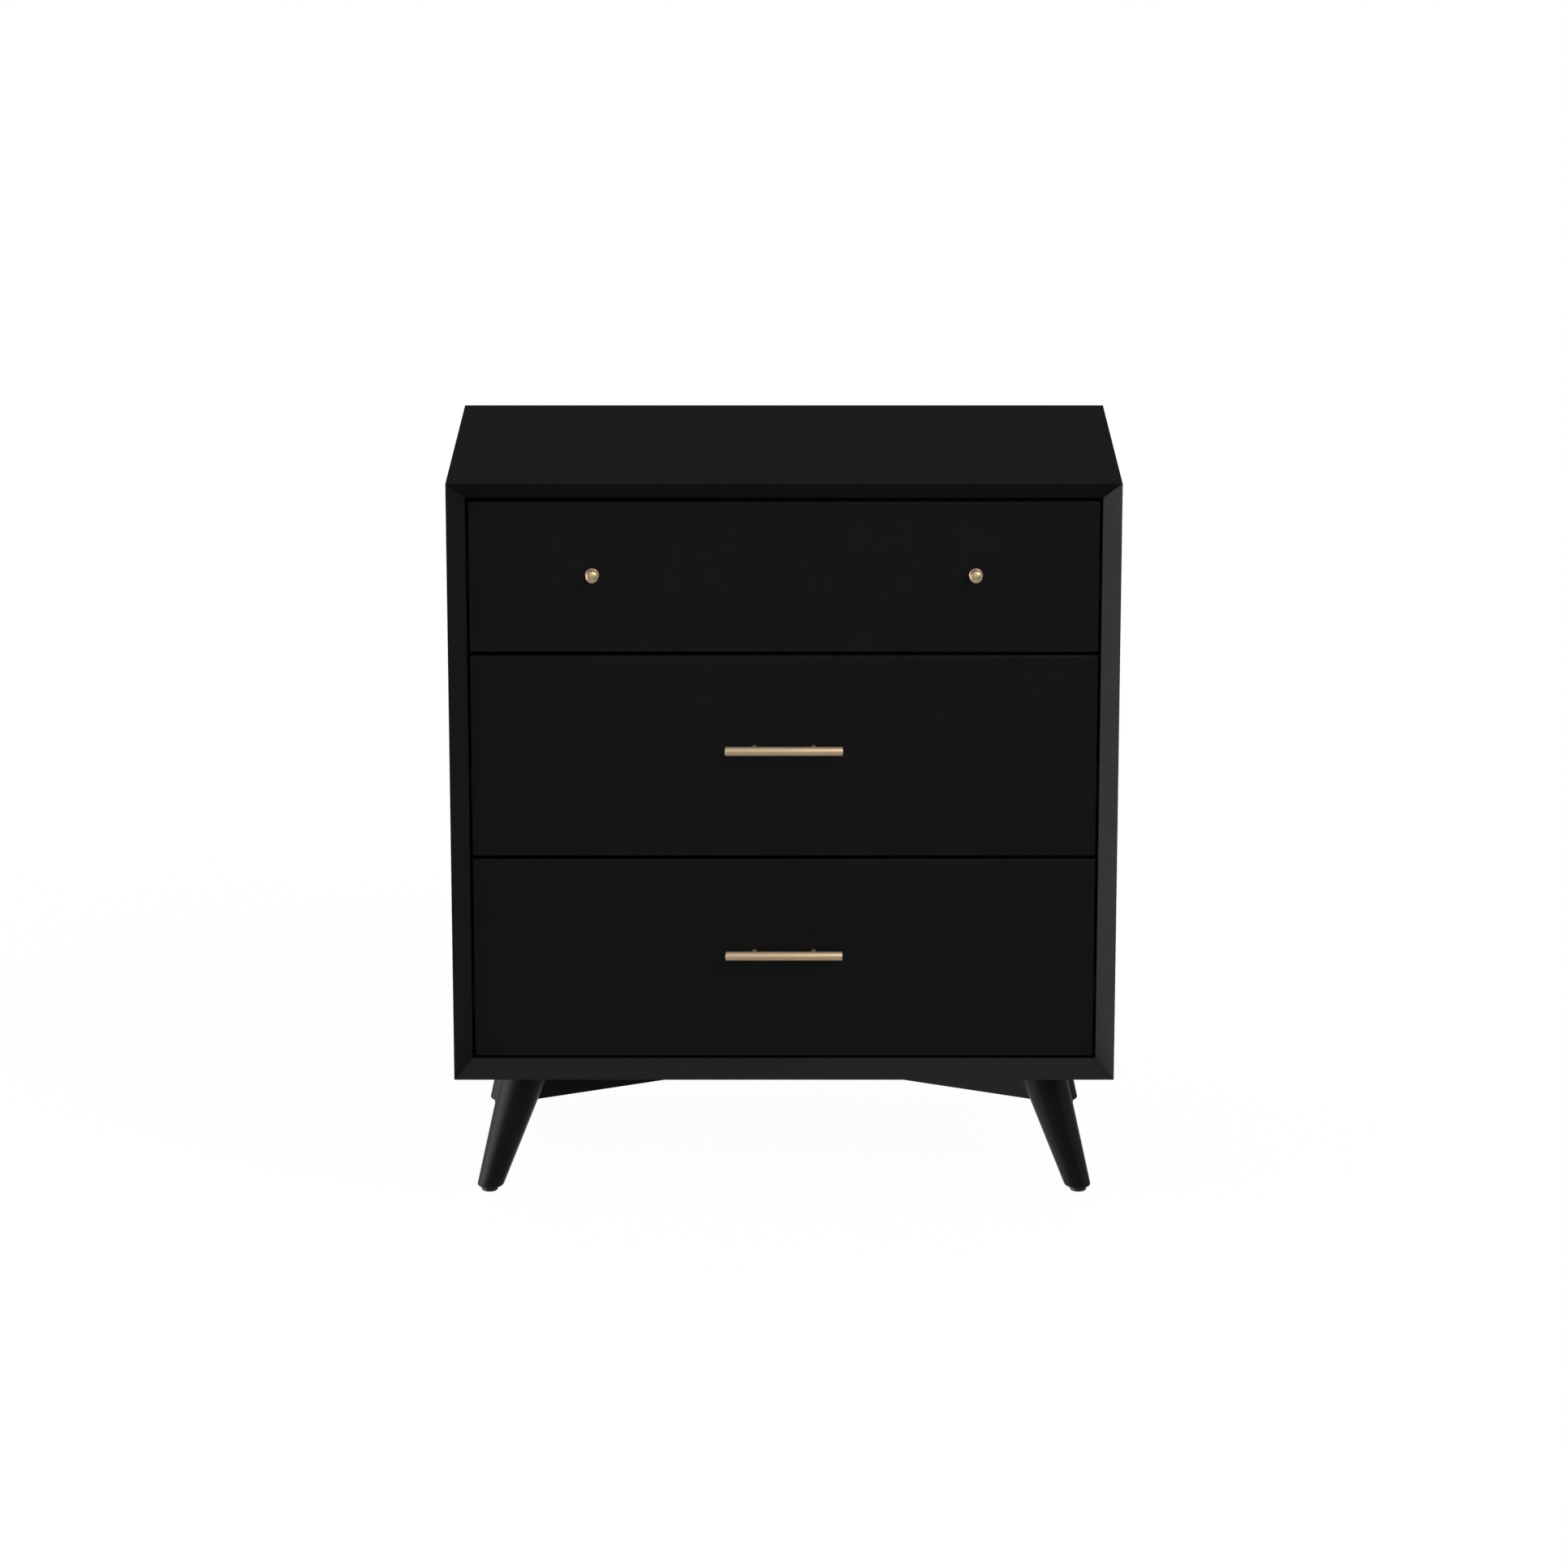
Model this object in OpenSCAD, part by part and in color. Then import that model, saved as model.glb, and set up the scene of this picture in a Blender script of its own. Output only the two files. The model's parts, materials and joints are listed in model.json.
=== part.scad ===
// Three-drawer nightstand: a mitred case on four splayed legs with a crossed stretcher under it.
// Millimetres. +Z is up and the drawer fronts face -Y.
// The origin is on the floor, at the centre of the overall box.

/* [Case] */
// Width of the case
case_w = 720; // [640:10:840]
// Depth of the case, from its front edge to its back edge
case_d = 410; // [405:5:450]
// Height of the case without its legs
case_h = 666; // [640:2:740]
// Thickness of the case panels
panel_t = 20; // [18:1:22]
// Depth of the bevel that slopes from the front edge in to the drawer fronts
bevel_d = 18; // [12:1:18]
// Thickness of the back panel
back_t = 6; // [4:1:8]
// Width of the rebate that the back panel sits in
rebate_w = 10; // [8:1:12]
// Height of the rails between the drawers
divider_h = 20; // [14:1:24]
// Depth of the rails between the drawers
divider_d = 60; // [40:5:90]

/* [Drawers] */
// Height of the top drawer front
top_front_h = 165; // [160:1:180]
// Thickness of the drawer fronts
front_t = 20; // [18:1:20]
// Gap above each drawer front
front_gap = 4; // [3:0.5:5]
// Gap at each side of the drawer fronts
side_gap = 2.5; // [2:0.5:4]
// Gap under the bottom drawer front
bottom_gap = 2; // [2:0.5:4]
// Thickness of the drawer box boards
box_t = 15; // [12:1:16]
// Height of the top drawer box
top_box_h = 130; // [110:5:135]
// Height of the middle and bottom drawer boxes
lower_box_h = 175; // [150:5:180]
// Thickness of the drawer bottoms
box_bottom_t = 6; // [4:1:8]

/* [Slides] */
// Length of each ball-bearing slide
slide_l = 350; // [300:10:350]
// Thickness of a closed slide, between the case and the drawer box
slide_t = 12.7; // [12.7:0.1:13]
// Height of a slide
slide_h = 45; // [42:1:48]
// Sheet thickness of the slide members
sheet_t = 1.2; // [1:0.1:1.2]
// Height of the slide's centre above the bottom of the drawer box
slide_rise = 60; // [40:5:70]

/* [Handles] */
// Distance of each knob from the middle of the top drawer
knob_x = 205; // [150:5:260]
// Height of the knobs above the middle of the drawer front
knob_rise = 4.4; // [0:0.2:10]
// Diameter of a knob
knob_d = 15; // [14:1:24]
// How far a knob stands out from its drawer front
knob_l = 22; // [20:1:28]
// Length of a knob's head
knob_head_l = 13.5; // [12:0.5:15]
// Length of a pull bar
pull_l = 127; // [110:1:160]
// Diameter of a pull bar
pull_d = 10; // [8:1:12]
// Distance between the two posts of a pull
post_gap = 64; // [64:32:96]
// Diameter of a pull post
post_d = 5; // [5:0.5:7]
// Distance of the pull bar's axis from the drawer front
pull_standoff = 18; // [16:1:28]
// Height of the middle pull above the middle of its drawer front
middle_pull_rise = 10; // [0:0.5:20]
// Height of the bottom pull above the middle of its drawer front
bottom_pull_rise = 7.5; // [0:0.5:20]

/* [Legs] */
// Height of the case bottom above the floor
leg_h = 144; // [130:1:170]
// Distance of a foot's centre from the middle of the case, sideways
foot_x = 326.8; // [300:0.2:335]
// Distance of a leg's axis from the nearer edge of the case, front or back
leg_inset = 51.5; // [46:0.5:60]
// Angle that a leg leans outwards
leg_splay = 16.9; // [10:0.1:18]
// Radius of a leg where its axis meets the floor
foot_r = 13.3; // [12:0.1:15]
// Radius of a leg where its axis meets the case
leg_top_r = 25.4; // [24:0.1:27]
// Radius of the plastic glides
glide_r = 9; // [8:0.5:10]
// Height of the plastic glides
glide_h = 5; // [3:0.5:6]
// Height of the stretcher boards
brace_h = 42; // [36:1:46]
// Thickness of the stretcher boards
brace_t = 20; // [18:1:22]
// Distance of a stretcher board's middle from the leg's axis, towards the inside
brace_offset = 10.8; // [8:0.2:12]

/* [Hidden] */
$fn = 64;
TOP = 0;
MIDDLE = 1;
BOTTOM = 2;
DRAWERS = [TOP, MIDDLE, BOTTOM];
SIDES = [-1, 1];
black = [0.09, 0.09, 0.09];
brass = [0.74, 0.62, 0.44];
steel = [0.7, 0.71, 0.73];
black_steel = [0.25, 0.25, 0.26];
birch = [0.84, 0.71, 0.52];
nylon = [0.04, 0.04, 0.04];

// Case
case_top = leg_h + case_h;
inner_w = case_w - 2 * panel_t;
pull_proud = pull_standoff + pull_d / 2 - bevel_d;
knob_proud = knob_l - bevel_d;
front_y = -(case_d - max(pull_proud, knob_proud)) / 2;
fit = 0.06;
spline_w = 12;
spline_t = 4;
spline_stop = 30;
spline_from_corner = 14;

// Drawer fronts and boxes
front_w = inner_w - 2 * side_gap;
lower_front_h = (case_h - 2 * panel_t - 3 * front_gap - bottom_gap - top_front_h) / 2;
fronts_top = case_top - panel_t - front_gap;
box_w = inner_w - 2 * slide_t;
box_y = bevel_d + front_t;
divider_y = box_y + 1;
box_lift = 8;
groove_rise = 10;
groove_d = 6;
tail_wide = 0.62;
tail_narrow = 0.5;

// Slides: faces are measured from the case panel inwards, and race_h is the room for the balls
race_h = 3;
case_web = 0;
case_lip = 9.6;
inter_web = 3.6;
inter_lip = 11.2;
inter_h = slide_h - 2 * sheet_t - 2 * race_h;
drawer_h = inter_h - 2 * sheet_t - 2 * race_h - 3;
drawer_flange = 6.4;
inter_set_back = 2;
slide_y = box_y + 2;
case_lip_h = 3.1;
inter_lip_h = 3.5;

// Fasteners: shank radius, shank length, head radius, head height
slide_screw = [1.75, 11, 3.4, 1.6];
front_screw = [2, 25, 4, 2.4];
back_screw = [1.6, 15, 3.2, 1.8];
brace_screw = [2.25, 40, 4.5, 4];
leg_bolt = [4, 58, 7, 5];
brace_screw_sunk = 14;
handle_screw_r = 2;
handle_screw_in = 8;
handle_head = [4, 2.2];
screw_places = [37, slide_l - 57];

// Legs and stretcher
splay = tan(leg_splay);
leg_l = leg_h / cos(leg_splay);
leg_extra = 12;
brace_z = leg_h - brace_h;
leg_mid_x = leg_x(leg_h - brace_h / 2);
brace_reach = norm([leg_mid_x, case_d / 2 - leg_inset]);
brace_angle = atan2(case_d / 2 - leg_inset, leg_mid_x) - asin(brace_offset / brace_reach);
brace_half = (leg_mid_x + 1.5) / cos(brace_angle);
brace_screw_s = 150;
dowel_r = 4;
dowel_l = 30;
brace_dowel_s = brace_half - 21;

function leg_x(z) = foot_x - z * splay;
function front_h(i) = i == TOP ? top_front_h : lower_front_h;
function front_z(i) = i == TOP
    ? fronts_top - top_front_h
    : front_z(i - 1) - front_gap - lower_front_h;
function divider_z(i) = front_z(i) - front_gap / 2;
function opening_z(i) = i == BOTTOM ? leg_h + panel_t : divider_z(i) + divider_h / 2;
function box_z(i) = opening_z(i) + box_lift;
function box_h(i) = i == TOP ? top_box_h : lower_box_h;
function slide_z(i) = box_z(i) + slide_rise;
function tails(i) = i == TOP ? 3 : 4;
function handle_rise(i) = [knob_rise, middle_pull_rise, bottom_pull_rise][i];
function handle_z(i) = front_z(i) + front_h(i) / 2 + handle_rise(i);
function handle_x(i) = i == TOP ? knob_x : post_gap / 2;

// ---------------------------------------------------------------- helpers

// Moves y = 0 from the front plane of the case to its place about the origin.
module in_frame() translate([0, front_y, 0]) children();

// A box that is centred on x = 0.
module centred_box(w, y, d, z, h) translate([-w / 2, y, z]) cube([w, d, h]);

// Extrudes an outline in Y and Z along X.
module along_x(l) rotate([90, 0, 90]) linear_extrude(l) children();

// Extrudes an outline in X and Z along Y, starting at y.
module along_y(y, l) translate([0, y + l, 0]) rotate([90, 0, 0]) linear_extrude(l) children();

// Repeats a piece on the left and, mirrored, on the right.
module both_sides() for (s = SIDES) scale_x(s) children();
module scale_x(s) mirror([s < 0 ? 1 : 0, 0, 0]) children();

// A screw with a pan head: the head stands on z = 0 and the shank goes down.
module pan_screw(size, gap = 0) {
    translate([0, 0, -size[1] - gap]) cylinder(h = size[1] + gap, r = size[0] + gap);
    cylinder(h = size[3] + gap, r = size[2] + gap);
}

// A screw with a countersunk head: the head's face is at z = 0 and the shank goes down.
module sunk_screw(size, gap = 0) {
    translate([0, 0, -size[1] - gap]) cylinder(h = size[1] + gap, r = size[0] + gap);
    translate([0, 0, -size[3]]) cylinder(h = size[3], r1 = size[0] + gap, r2 = size[2] + gap);
}

// Points a screw's shank along +X, +Y or -Y instead of down.
module shank_to_plus_x() rotate([0, -90, 0]) children();
module shank_to_plus_y() rotate([90, 0, 0]) children();
module shank_to_minus_y() rotate([-90, 0, 0]) children();

// ---------------------------------------------------------------- case

// One mitred panel in section, as a polygon in X and Z: upper is the top, or the right-hand side.
module panel_outline(horizontal, upper) {
    long = horizontal ? case_w : case_h;
    edge = long / 2;
    inner = edge - panel_t;
    dir = upper ? 1 : -1;
    far = (horizontal ? case_h : case_w) / 2 * dir;
    near = far - panel_t * dir;
    outline = [[-edge, far], [edge, far], [inner, near], [-inner, near]];
    middle = leg_h + case_h / 2;
    translate([0, middle]) polygon(horizontal ? outline : [for (p = outline) [p[1], p[0]]]);
}

// What the sloping front edge takes off a panel that faces up, half_span above the case's middle.
module bevel_cut(half_span, l) {
    translate([-l / 2, 0, half_span])
        along_x(l) polygon([[-1, -panel_t - 1], [bevel_d, -panel_t - 1], [bevel_d, -panel_t], [0, 0],
                            [-1, 0]]);
}

module bevel_cuts(horizontal) {
    turn = horizontal ? 0 : 90;
    across = horizontal ? case_h : case_w;
    along = horizontal ? case_w : case_h;
    translate([0, 0, leg_h + case_h / 2])
        for (a = [turn, turn + 180]) rotate([0, a, 0]) bevel_cut(across / 2, along + 2);
}

module back_shape(gap = 0) {
    inset = panel_t - rebate_w;
    centred_box(case_w - 2 * inset + 2 * gap, case_d - back_t - gap, back_t + 2 * gap,
                leg_h + inset - gap, case_h - 2 * inset + 2 * gap);
}

module splines_shape(gap = 0) {
    reach = spline_from_corner;
    for (sx = SIDES, sz = SIDES)
        translate([sx * (case_w / 2 - reach), case_d / 2, leg_h + case_h / 2 + sz * (case_h / 2 - reach)])
            rotate([0, 45 * sx * sz, 0])
                cube([spline_w + 2 * gap, case_d - 2 * spline_stop + 2 * gap, spline_t + 2 * gap],
                     center = true);
}

module divider_dowels_shape(gap = 0) {
    for (i = [TOP, MIDDLE], s = SIDES, y = [0.25, 0.75])
        translate([s * inner_w / 2, divider_y + y * divider_d, divider_z(i)])
            rotate([0, 90, 0]) cylinder(h = 24 + 2 * gap, r = dowel_r + gap, center = true);
}

module back_screws_shape(gap = 0) {
    edge_x = case_w / 2 - panel_t + rebate_w / 2;
    edge_z = case_h / 2 - panel_t + rebate_w / 2;
    translate([0, case_d, leg_h + case_h / 2]) {
        for (x = [-1, -1 / 3, 1 / 3, 1], s = SIDES)
            translate([x * (edge_x - 40), 0, s * edge_z]) shank_to_minus_y() sunk_screw(back_screw, gap);
        for (z = [-0.8, 0, 0.8], s = SIDES)
            translate([s * edge_x, 0, z * edge_z]) shank_to_minus_y() sunk_screw(back_screw, gap);
    }
}

module case_panel(horizontal, upper) {
    in_frame() difference() {
        along_y(0, case_d) panel_outline(horizontal, upper);
        bevel_cuts(horizontal);
        back_shape(0.2);
        splines_shape(0.1);
        back_screws_shape(fit);
        if (horizontal) {
            leg_bolts_shape(fit);
            brace_screws_shape(fit);
        } else {
            divider_dowels_shape(fit);
            case_slide_screws_shape(fit);
        }
    }
}

module back_panel() in_frame() difference() {
    back_shape();
    back_screws_shape(fit);
}

module divider(i) in_frame() difference() {
    centred_box(inner_w, divider_y, divider_d, divider_z(i) - divider_h / 2, divider_h);
    divider_dowels_shape(fit);
}

// ---------------------------------------------------------------- legs and stretcher

module leg_shape(front, gap = 0) {
    slope = (leg_top_r - foot_r) / leg_l;
    y = front ? leg_inset : case_d - leg_inset;
    intersection() {
        translate([foot_x, y, 0])
            rotate([0, -leg_splay, 0]) translate([0, 0, -leg_extra])
                cylinder(h = leg_l + 2 * leg_extra, r1 = foot_r - slope * leg_extra + gap,
                         r2 = leg_top_r + slope * leg_extra + gap);
        translate([0, y - 50, glide_h]) cube([foot_x + 50, 100, leg_h - glide_h]);
    }
}

module all_legs_shape(gap = 0)
    for (s = SIDES, front = [true, false]) scale_x(s) leg_shape(front, gap);

module at_feet()
    for (s = SIDES, y = [leg_inset, case_d - leg_inset]) scale_x(s) translate([0, y, 0]) children();

module leg_bolts_shape(gap = 0) {
    head_z = leg_h + panel_t - leg_bolt[3] - 0.5;
    at_feet() translate([leg_x(leg_h) + 4, 0, head_z]) {
        pan_screw(leg_bolt, gap);
        if (gap > 0) cylinder(h = leg_bolt[3] + 2, r = leg_bolt[2] + gap);
    }
}

module glides_shape(gap = 0) {
    edge = 1.5;
    nail_r = 1.5;
    nail_l = 14;
    at_feet() translate([leg_x(glide_h), 0, 0]) {
        rotate_extrude() {
            translate([0, edge]) square([glide_r, glide_h - edge]);
            square([glide_r - edge, glide_h]);
            translate([glide_r - edge, edge]) circle(edge);
        }
        cylinder(h = glide_h + nail_l + gap, r = nail_r + gap);
    }
}

// Places its children along a stretcher board, with the crossing at x = 0.
module on_brace(dir) translate([0, case_d / 2, 0]) rotate([0, 0, dir * brace_angle]) children();

module brace_shape(dir, z, h) {
    on_brace(dir) translate([-brace_half, -brace_t / 2, z]) cube([2 * brace_half, brace_t, h]);
}

module brace_screws_shape(gap = 0) {
    for (dir = SIDES, s = SIDES)
        on_brace(dir) translate([s * brace_screw_s, 0, brace_z + brace_screw_sunk]) mirror([0, 0, 1]) {
            pan_screw(brace_screw, gap);
            if (gap > 0) cylinder(h = brace_screw_sunk + 1, r = brace_screw[2] + gap);
        }
}

module brace_dowels_shape(gap = 0) {
    for (dir = SIDES, s = SIDES)
        on_brace(dir) translate([s * brace_dowel_s, 0, brace_z + brace_h / 2])
            rotate([0, 90, 0]) cylinder(h = dowel_l + 2 * gap, r = dowel_r + gap, center = true);
}

// The two boards are halved into each other where they cross: dir 1 keeps its lower half there.
module brace(dir) in_frame() difference() {
    brace_shape(dir, brace_z, brace_h);
    brace_shape(-dir, dir > 0 ? brace_z + brace_h / 2 : brace_z - 1, brace_h / 2 + 1);
    all_legs_shape(0.02);
    brace_screws_shape(fit);
    brace_dowels_shape(fit);
}

module leg(s, front) in_frame() difference() {
    scale_x(s) leg_shape(front);
    leg_bolts_shape(fit);
    brace_dowels_shape(fit);
    glides_shape(fit);
}

// ---------------------------------------------------------------- slides

// A rolled channel of one slide, in section: web and lip are its two faces, h its height.
// The lips turn in from the flanges by lip_h.
module channel(web, lip, h, lip_h) {
    dir = lip > web ? 1 : -1;
    face = [min(web, web + dir * sheet_t), min(lip, lip - dir * sheet_t)];
    start = min(web, lip);
    width = abs(lip - web);
    translate([face[0], -h / 2]) square([sheet_t, h]);
    for (s = SIDES) {
        translate([start, s * (h - sheet_t) / 2 - sheet_t / 2]) square([width, sheet_t]);
        if (lip_h > 0)
            translate([face[1], s * (h - lip_h) / 2 - lip_h / 2]) square([sheet_t, lip_h]);
    }
}

// Places a slide section on the right-hand case panel, seen from the front, and mirrors it left.
module slide_pair(i, y, l) both_sides()
    translate([inner_w / 2, 0, slide_z(i)]) mirror([1, 0, 0]) along_y(y, l) children();

module case_slide_screws_shape(gap = 0) {
    for (i = DRAWERS, y = screw_places) both_sides()
        translate([inner_w / 2 - sheet_t, slide_y + y, slide_z(i)])
            shank_to_plus_x() pan_screw(slide_screw, gap);
}

module drawer_slide_screws_shape(i, gap = 0) {
    for (y = screw_places) both_sides()
        translate([box_w / 2 + sheet_t, slide_y + y, slide_z(i)])
            mirror([1, 0, 0]) shank_to_plus_x() pan_screw(slide_screw, gap);
}

module case_slides(i) in_frame() difference() {
    slide_pair(i, slide_y, slide_l) channel(case_web, case_lip, slide_h, case_lip_h);
    case_slide_screws_shape(fit);
}

module intermediate_slides(i) in_frame()
    slide_pair(i, slide_y + inter_set_back, slide_l - 2 * inter_set_back)
        channel(inter_web, inter_lip, inter_h, inter_lip_h);

module drawer_slides(i) in_frame() difference() {
    slide_pair(i, slide_y, slide_l - inter_set_back) channel(slide_t, drawer_flange, drawer_h, 0);
    drawer_slide_screws_shape(i, fit);
}

// ---------------------------------------------------------------- drawers

// The tails of one corner joint on the right-hand side board, wide at the board's end.
module corner_tails(i) {
    pitch = box_h(i) / tails(i);
    wide = pitch * tail_wide / 2;
    narrow = pitch * tail_narrow / 2;
    for (k = [0:tails(i) - 1])
        translate([box_w / 2 - box_t, 0, box_z(i) + pitch * (k + 0.5)])
            along_x(box_t) polygon([[0, -wide], [box_t, -narrow], [box_t, narrow], [0, wide]]);
}

// The tails at both ends of both side boards.
module all_tails(i) both_sides() {
    translate([0, box_y, 0]) corner_tails(i);
    translate([0, box_y + slide_l, 0]) mirror([0, 1, 0]) corner_tails(i);
}

module box_bottom_shape(i, gap = 0) {
    w = box_w - 2 * (box_t - groove_d);
    centred_box(w + 2 * gap, box_y + box_t - groove_d - gap, slide_l - 2 * (box_t - groove_d) + 2 * gap,
                box_z(i) + groove_rise - gap, box_bottom_t + 2 * gap);
}

// Screws that hold the drawer front on the box front, from inside the box.
module front_screws_shape(i, gap = 0) {
    inset = 32;
    for (s = SIDES, z = [inset, box_h(i) - inset])
        translate([s * (box_w / 2 - 70), box_y + box_t, box_z(i) + z])
            shank_to_minus_y() sunk_screw(front_screw, gap);
}

// Machine screws that go through both fronts into the knobs or posts.
module handle_screws_shape(i, gap = 0) {
    size = [handle_screw_r, box_t + front_t + handle_screw_in, handle_head[0], handle_head[1]];
    for (s = SIDES) translate([s * handle_x(i), box_y + box_t, handle_z(i)])
        shank_to_minus_y() pan_screw(size, gap);
}

module drawer_front(i) in_frame() difference() {
    centred_box(front_w, bevel_d, front_t, front_z(i), front_h(i));
    front_screws_shape(i, fit);
    handle_screws_shape(i, fit);
}

module box_end(i, back) in_frame() difference() {
    y = back ? box_y + slide_l - box_t : box_y;
    centred_box(box_w, y, box_t, box_z(i), box_h(i));
    all_tails(i);
    box_bottom_shape(i, 0.1);
    front_screws_shape(i, fit);
    handle_screws_shape(i, fit);
}

module box_side(i, s) in_frame() difference() {
    union() {
        scale_x(s) translate([box_w / 2 - box_t, box_y + box_t, box_z(i)])
            cube([box_t, slide_l - 2 * box_t, box_h(i)]);
        intersection() {
            all_tails(i);
            scale_x(s) translate([0, 0, box_z(i)]) cube([case_w, case_d, box_h(i)]);
        }
    }
    box_bottom_shape(i, 0.1);
    drawer_slide_screws_shape(i, fit);
}

module box_bottom(i) in_frame() box_bottom_shape(i);

module drawer_screws(i) in_frame() {
    front_screws_shape(i);
    drawer_slide_screws_shape(i);
}

// ---------------------------------------------------------------- handles

// A knob in section: a thin neck, a flange with a rounded rim, and a barrel with a domed front.
module knob_section() {
    neck_r = 4.5;
    chamfer = 0.5;
    rim = 2.2;
    flange_t = 3.2;
    barrel_r = 6.6;
    shoulder = 1.4;
    dome_r = 12;
    r = knob_d / 2;
    head_z = knob_l - knob_head_l;
    rim_z = head_z + flange_t - rim;
    dome_z = knob_l - dome_r;
    inner_r = barrel_r - shoulder;
    shoulder_z = dome_z + sqrt(pow(dome_r - shoulder, 2) - pow(inner_r, 2));
    square([neck_r, head_z + 1]);
    polygon([
        [0, head_z], [r - chamfer, head_z], [r, head_z + chamfer],
        [r, rim_z], [r - rim, rim_z + rim], [0, rim_z + rim],
    ]);
    translate([r - rim, rim_z]) circle(rim);
    translate([0, head_z]) square([barrel_r, shoulder_z - head_z]);
    translate([inner_r, shoulder_z]) circle(shoulder);
    intersection() {
        translate([0, dome_z]) circle(dome_r);
        translate([0, dome_z]) polygon([[0, 0], 2 * [inner_r, shoulder_z - dome_z], [0, 2 * dome_r]]);
    }
}

module knob(s) in_frame() difference() {
    translate([s * knob_x, bevel_d, handle_z(TOP)]) rotate([90, 0, 0]) rotate_extrude()
        intersection() {
            knob_section();
            square([knob_d, knob_l]);
        }
    handle_screws_shape(TOP, fit);
}

module pull_posts_shape(i, gap = 0) {
    in_bar = 3;
    l = pull_standoff - pull_d / 2 + in_bar;
    for (s = SIDES) translate([s * post_gap / 2, bevel_d, handle_z(i)])
        rotate([90, 0, 0]) cylinder(h = l + gap, r = post_d / 2 + gap);
}

module pull_bar(i) in_frame() difference() {
    translate([-pull_l / 2, bevel_d - pull_standoff, handle_z(i)])
        rotate([0, 90, 0]) cylinder(h = pull_l, r = pull_d / 2);
    pull_posts_shape(i, fit);
}

module pull_posts(i) in_frame() difference() {
    pull_posts_shape(i);
    handle_screws_shape(i, fit);
}

// ---------------------------------------------------------------- nodes

color(black) case_panel(true, true);  // top_panel
color(black) case_panel(true, false);  // bottom_panel
color(black) case_panel(false, false);  // left_side_panel
color(black) case_panel(false, true);  // right_side_panel
color(black) back_panel();
color(black) divider(TOP);  // upper_divider
color(black) divider(MIDDLE);  // lower_divider
color(birch) in_frame() splines_shape();  // mitre_splines
color(birch) in_frame() divider_dowels_shape();  // divider_dowels
color(steel) in_frame() back_screws_shape();  // back_panel_screws
color(black) brace(1);  // left_front_brace
color(black) brace(-1);  // right_front_brace
color(steel) in_frame() brace_screws_shape();  // brace_screws
color(birch) in_frame() brace_dowels_shape();  // brace_dowels
color(black) leg(-1, true);  // front_left_leg
color(black) leg(1, true);  // front_right_leg
color(black) leg(-1, false);  // rear_left_leg
color(black) leg(1, false);  // rear_right_leg
color(steel) in_frame() leg_bolts_shape();  // leg_bolts
color(nylon) in_frame() glides_shape();  // leg_glides
color(black_steel) case_slides(TOP);  // top_case_slides
color(black_steel) case_slides(MIDDLE);  // middle_case_slides
color(black_steel) case_slides(BOTTOM);  // bottom_case_slides
color(steel) in_frame() case_slide_screws_shape();  // case_slide_screws
color(black_steel) intermediate_slides(TOP);  // top_intermediate_slides
color(black_steel) intermediate_slides(MIDDLE);  // middle_intermediate_slides
color(black_steel) intermediate_slides(BOTTOM);  // bottom_intermediate_slides

color(black) drawer_front(TOP);  // top_drawer_front
color(birch) box_end(TOP, false);  // top_box_front
color(birch) box_end(TOP, true);  // top_box_back
color(birch) box_side(TOP, -1);  // top_box_left_side
color(birch) box_side(TOP, 1);  // top_box_right_side
color(birch) box_bottom(TOP);  // top_box_bottom
color(black_steel) drawer_slides(TOP);  // top_drawer_slides
color(steel) drawer_screws(TOP);  // top_drawer_screws
color(steel) in_frame() handle_screws_shape(TOP);  // top_handle_screws
color(brass) knob(-1);  // left_knob
color(brass) knob(1);  // right_knob

color(black) drawer_front(MIDDLE);  // middle_drawer_front
color(birch) box_end(MIDDLE, false);  // middle_box_front
color(birch) box_end(MIDDLE, true);  // middle_box_back
color(birch) box_side(MIDDLE, -1);  // middle_box_left_side
color(birch) box_side(MIDDLE, 1);  // middle_box_right_side
color(birch) box_bottom(MIDDLE);  // middle_box_bottom
color(black_steel) drawer_slides(MIDDLE);  // middle_drawer_slides
color(steel) drawer_screws(MIDDLE);  // middle_drawer_screws
color(steel) in_frame() handle_screws_shape(MIDDLE);  // middle_handle_screws
color(brass) pull_bar(MIDDLE);  // middle_pull_bar
color(brass) pull_posts(MIDDLE);  // middle_pull_posts

color(black) drawer_front(BOTTOM);  // bottom_drawer_front
color(birch) box_end(BOTTOM, false);  // bottom_box_front
color(birch) box_end(BOTTOM, true);  // bottom_box_back
color(birch) box_side(BOTTOM, -1);  // bottom_box_left_side
color(birch) box_side(BOTTOM, 1);  // bottom_box_right_side
color(birch) box_bottom(BOTTOM);  // bottom_box_bottom
color(black_steel) drawer_slides(BOTTOM);  // bottom_drawer_slides
color(steel) drawer_screws(BOTTOM);  // bottom_drawer_screws
color(steel) in_frame() handle_screws_shape(BOTTOM);  // bottom_handle_screws
color(brass) pull_bar(BOTTOM);  // bottom_pull_bar
color(brass) pull_posts(BOTTOM);  // bottom_pull_posts
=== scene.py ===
"""The looks of the three-drawer nightstand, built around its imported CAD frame.

Everything is in metres, in the row frame: +Z is up and the drawer fronts face -Y.
"""

import json
import math

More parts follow.
